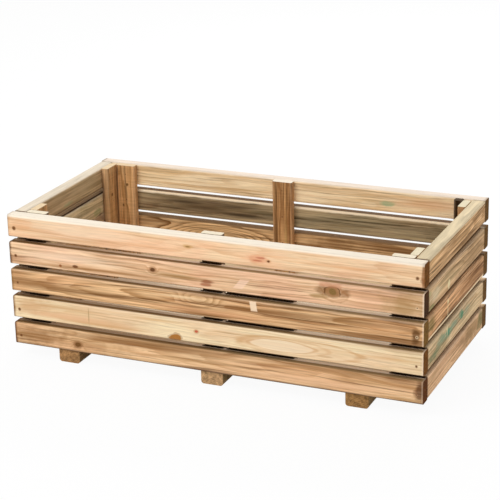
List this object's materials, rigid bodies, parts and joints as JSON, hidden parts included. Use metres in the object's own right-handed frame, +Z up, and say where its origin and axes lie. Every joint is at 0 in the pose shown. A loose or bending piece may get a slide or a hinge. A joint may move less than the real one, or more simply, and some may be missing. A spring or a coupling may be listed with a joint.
{
  "type": "wooden planter",
  "caption": "Long open-topped slatted planter: level pine boards butted at the corners, upright battens inside, a spaced floor and low bearers beneath.",
  "frame": {"origin": "on the ground under the middle of the planter", "axes": "+Z up, +X along the length, the long wall seen in the picture faces -Y"},
  "size_m": [0.9, 0.442, 0.3149],
  "materials": {
    "back_wall_pine": "planed softwood, bare, weathered inside",
    "batten_pine": "sawn softwood, bare",
    "bearer_pine": "sawn softwood, bare, pressure treated",
    "floor_pine": "sawn softwood, bare",
    "front_wall_pine": "planed softwood, bare, warm honey colour",
    "left_wall_pine": "planed softwood, bare",
    "right_wall_pine": "planed softwood, bare, stained in places",
    "wire_nail_steel": "bright drawn wire, dulled"
  },
  "bodies": {
    "root": {"back_batten_nails": "wire_nail_steel", "back_board_1": "back_wall_pine", "back_board_2": "back_wall_pine", "back_board_3": "back_wall_pine", "back_board_4": "back_wall_pine", "back_board_5": "back_wall_pine", "back_corner_nails": "wire_nail_steel", "back_wall_left_batten": "batten_pine", "back_wall_middle_batten": "batten_pine", "back_wall_right_batten": "batten_pine", "bearer_nails": "wire_nail_steel", "floor_board_1": "floor_pine", "floor_board_2": "floor_pine", "floor_board_3": "floor_pine", "floor_board_4": "floor_pine", "floor_board_5": "floor_pine", "floor_board_6": "floor_pine", "floor_nails": "wire_nail_steel", "front_backing_board": "batten_pine", "front_batten_nails": "wire_nail_steel", "front_board_1": "front_wall_pine", "front_board_2": "front_wall_pine", "front_board_3": "front_wall_pine", "front_board_4": "front_wall_pine", "front_board_5": "front_wall_pine", "front_corner_nails": "wire_nail_steel", "front_wall_left_batten": "batten_pine", "front_wall_middle_batten": "batten_pine", "front_wall_right_batten": "batten_pine", "left_batten_nails": "wire_nail_steel", "left_bearer": "bearer_pine", "left_board_1": "left_wall_pine", "left_board_2": "left_wall_pine", "left_board_3": "left_wall_pine", "left_board_4": "left_wall_pine", "left_board_5": "left_wall_pine", "left_wall_back_batten": "batten_pine", "left_wall_front_batten": "batten_pine", "middle_bearer": "bearer_pine", "right_batten_nails": "wire_nail_steel", "right_bearer": "bearer_pine", "right_board_1": "right_wall_pine", "right_board_2": "right_wall_pine", "right_board_3": "right_wall_pine", "right_board_4": "right_wall_pine", "right_board_5": "right_wall_pine", "right_wall_back_batten": "batten_pine", "right_wall_front_batten": "batten_pine"}
  },
  "joints": []
}
